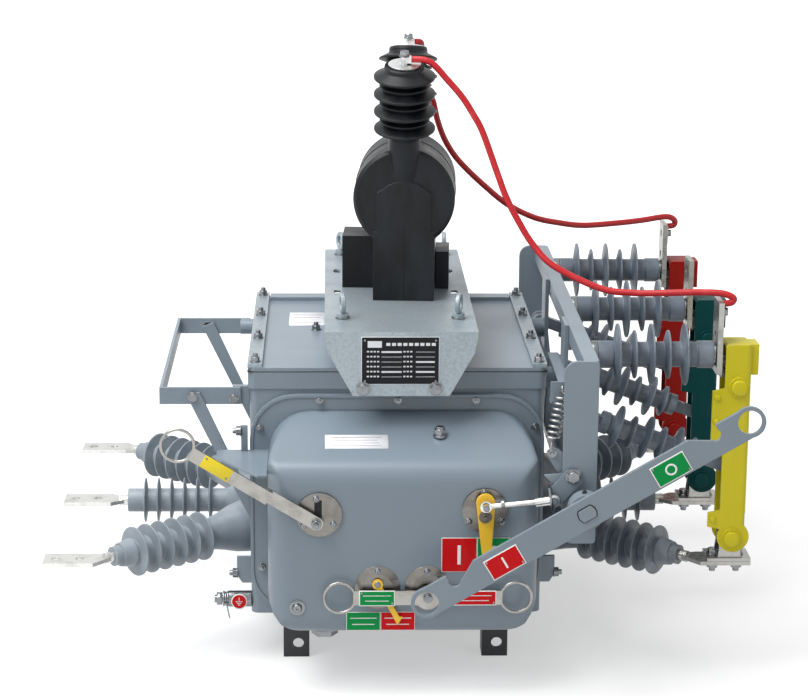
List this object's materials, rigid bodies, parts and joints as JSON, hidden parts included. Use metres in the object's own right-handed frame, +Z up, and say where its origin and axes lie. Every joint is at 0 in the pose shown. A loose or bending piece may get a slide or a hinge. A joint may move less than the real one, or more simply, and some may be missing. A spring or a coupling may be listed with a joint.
{
  "type": "pole-mounted vacuum circuit breaker",
  "caption": "Outdoor vacuum switch: a steel tank with fanned silicone bushings, an isolator with coloured blade covers and a long handle, and a voltage transformer on top.",
  "frame": {"origin": "on the ground plane, under the middle of the whole unit", "axes": "+X along the bushings towards the isolator, +Y from the operating side to the back, +Z up"},
  "size_m": [1.066, 0.907, 0.9237],
  "materials": {
    "grey_paint": "semi-gloss light blue-grey paint",
    "black_paint": "satin black paint",
    "yellow_paint": "satin yellow paint",
    "galvanised": "zinc coated, dull",
    "stainless": "brushed stainless steel",
    "spring_steel": "bright plated",
    "tinned_copper": "tinned, dull silver",
    "grey_silicone": "matte blue-grey silicone rubber",
    "black_epoxy": "matte black cast epoxy",
    "red_cable": "satin red insulation",
    "yellow_plastic": "satin yellow moulded plastic",
    "green_plastic": "satin dark green moulded plastic",
    "red_plastic": "satin dark red moulded plastic"
  },
  "bodies": {
    "switchgear": {"tank": "grey_paint", "top_cover": "grey_paint", "cover_strips": "galvanised", "cover_flange": "grey_paint", "mechanism_cover": "grey_paint", "feet": "black_paint", "bushings": "grey_silicone", "line_terminals": "tinned_copper", "load_terminals": "tinned_copper", "side_frame": "grey_paint", "side_frame_braces": "grey_paint", "transformer_bracket": "galvanised", "lifting_eyes": "galvanised", "transformer_body": "black_epoxy", "transformer_terminal_box": "black_epoxy", "transformer_caps": "galvanised", "front_lead": "red_cable", "rear_lead": "red_cable", "isolator_frame": "grey_paint", "spring_shelf": "grey_paint", "frame_supports": "grey_paint", "post_insulators": "grey_silicone", "upper_terminals": "tinned_copper", "blade_hinges": "tinned_copper", "mechanism_discs": "stainless", "return_spring": "spring_steel", "earth_terminal": "galvanised", "cable_connector": "galvanised"},
    "isolator": {"isolator_shaft": "grey_paint", "main_handle": "grey_paint"},
    "front_blade_unit": {"front_blade": "tinned_copper", "front_blade_cover": "yellow_plastic"},
    "middle_blade_unit": {"middle_blade": "tinned_copper", "middle_blade_cover": "green_plastic"},
    "rear_blade_unit": {"rear_blade": "tinned_copper", "rear_blade_cover": "red_plastic"},
    "front_rod_unit": {"front_pull_rod": "grey_silicone"},
    "middle_rod_unit": {"middle_pull_rod": "grey_silicone"},
    "rear_rod_unit": {"rear_pull_rod": "grey_silicone"},
    "charging": {"charging_handle": "stainless"},
    "trip": {"trip_lever": "stainless"},
    "pointer": {"position_pointer": "yellow_paint"},
    "link": {"tie_rod": "stainless"},
    "interlock": {"interlock_lever": "grey_paint"},
    "energy": {"energy_pointer": "yellow_paint"}
  },
  "joints": [
    {"name": "isolator_swing", "type": "hinge", "parent": "switchgear", "child": "isolator", "pos_m": [0.2665, -0.4445, 0.308], "axis": [0, 1, 0], "range_deg": [0, 60]},
    {"name": "front_blade_swing", "type": "hinge", "parent": "switchgear", "child": "front_blade_unit", "pos_m": [0.501, -0.2765, 0.221], "axis": [0, 1, 0], "range_deg": [0, 60]},
    {"name": "front_rod_swing", "type": "hinge", "parent": "isolator", "child": "front_rod_unit", "pos_m": [0.26287, -0.2765, 0.41194], "axis": [0, 1, 0], "range_deg": [-60, 0]},
    {"name": "middle_blade_swing", "type": "hinge", "parent": "switchgear", "child": "middle_blade_unit", "pos_m": [0.501, 0.0235, 0.221], "axis": [0, 1, 0], "range_deg": [0, 60]},
    {"name": "middle_rod_swing", "type": "hinge", "parent": "isolator", "child": "middle_rod_unit", "pos_m": [0.26287, 0.0235, 0.41194], "axis": [0, 1, 0], "range_deg": [-60, 0]},
    {"name": "rear_blade_swing", "type": "hinge", "parent": "switchgear", "child": "rear_blade_unit", "pos_m": [0.501, 0.3235, 0.221], "axis": [0, 1, 0], "range_deg": [0, 60]},
    {"name": "rear_rod_swing", "type": "hinge", "parent": "isolator", "child": "rear_rod_unit", "pos_m": [0.26287, 0.3235, 0.41194], "axis": [0, 1, 0], "range_deg": [-60, 0]},
    {"name": "charging_swing", "type": "hinge", "parent": "switchgear", "child": "charging", "pos_m": [-0.122, -0.3798, 0.272], "axis": [0, 1, 0], "range_deg": [-50, 0]},
    {"name": "trip_swing", "type": "hinge", "parent": "switchgear", "child": "trip", "pos_m": [0.042, -0.3798, 0.157], "axis": [0, 1, 0], "range_deg": [-12, 12]},
    {"name": "pointer_swing", "type": "hinge", "parent": "switchgear", "child": "pointer", "pos_m": [0.125, -0.3798, 0.282], "axis": [0, 1, 0], "range_deg": [0, 20]},
    {"name": "link_swing", "type": "hinge", "parent": "pointer", "child": "link", "pos_m": [0.125, -0.3928, 0.301], "axis": [0, 1, 0], "range_deg": [-18, 0]},
    {"name": "interlock_swing", "type": "hinge", "parent": "switchgear", "child": "interlock", "pos_m": [0.25, -0.3965, 0.349], "axis": [0, 1, 0], "range_deg": [-11, 0], "deforming": ["return_spring"]},
    {"name": "energy_swing", "type": "hinge", "parent": "switchgear", "child": "energy", "pos_m": [-0.032, -0.3768, 0.176], "axis": [0, 1, 0], "range_deg": [0, 50]}
  ],
  "couplings": [
    {"joint": "front_blade_swing", "follows": "isolator_swing", "ratio": 1},
    {"joint": "front_rod_swing", "follows": "isolator_swing", "ratio": -1},
    {"joint": "middle_blade_swing", "follows": "isolator_swing", "ratio": 1},
    {"joint": "middle_rod_swing", "follows": "isolator_swing", "ratio": -1},
    {"joint": "rear_blade_swing", "follows": "isolator_swing", "ratio": 1},
    {"joint": "rear_rod_swing", "follows": "isolator_swing", "ratio": -1},
    {"joint": "link_swing", "follows": "pointer_swing", "ratio": -0.8957},
    {"joint": "interlock_swing", "follows": "pointer_swing", "ratio": -0.5455}
  ]
}
